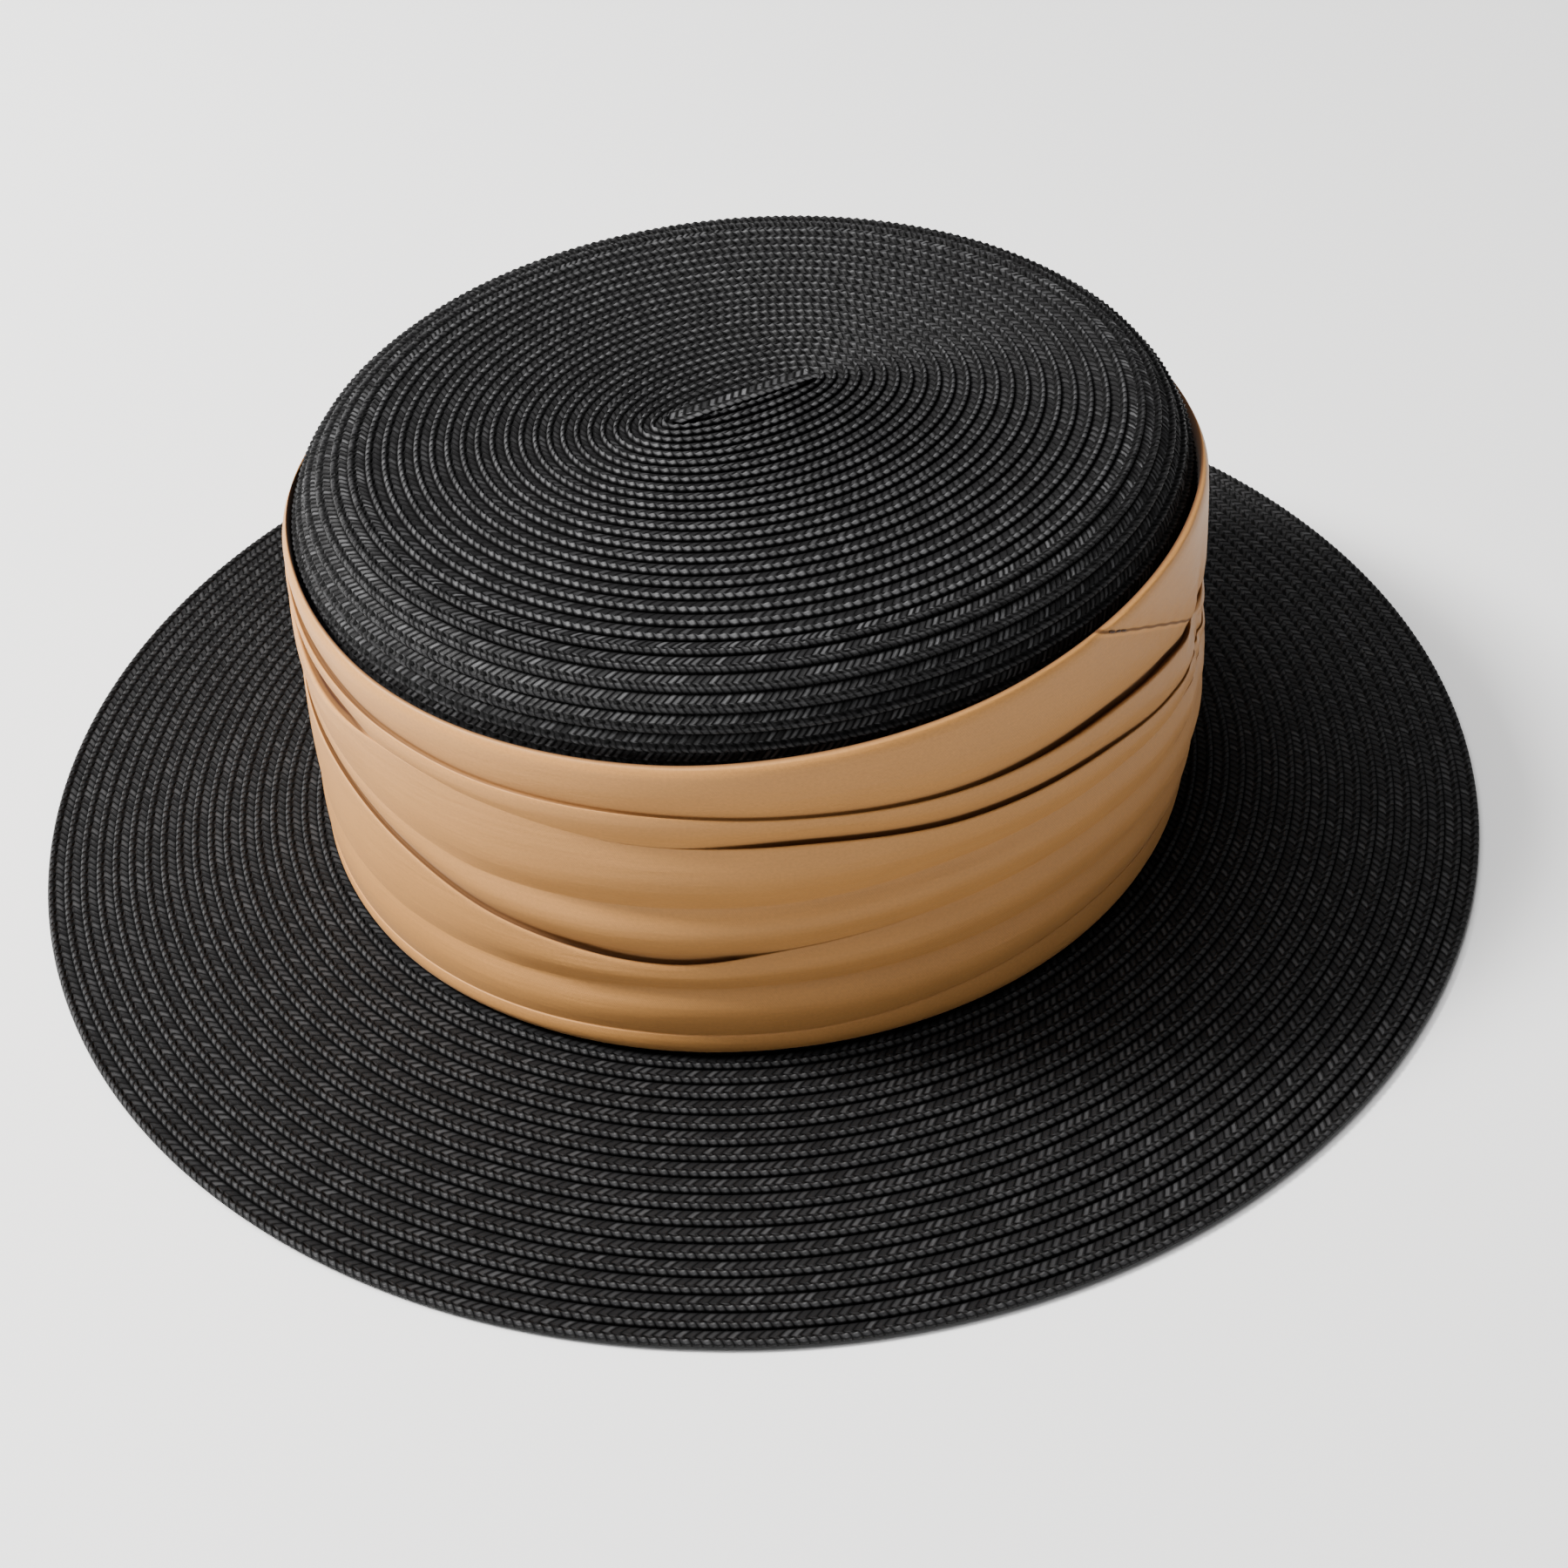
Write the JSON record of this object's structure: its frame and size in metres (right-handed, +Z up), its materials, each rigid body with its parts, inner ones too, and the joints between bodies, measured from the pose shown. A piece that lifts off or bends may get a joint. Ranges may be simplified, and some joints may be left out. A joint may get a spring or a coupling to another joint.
{
  "type": "straw boater hat",
  "caption": "Hollow straw boater with a flat-topped oval crown, a wide nearly flat brim and a wide folded satin band gathered at one side.",
  "frame": {"origin": "centre of the oval that the brim's edge rests on, on the surface it rests on", "axes": "+Z up out of the crown's top, -Y to the front of the hat, +X to the wearer's left"},
  "size_m": [0.311, 0.3216, 0.0955],
  "materials": {
    "straw": "black sewn plait braid with a low sheen",
    "satin": "tan satin with soft folds"
  },
  "bodies": {
    "root": {"crown": "straw", "brim": "straw", "band": "satin"}
  },
  "joints": []
}
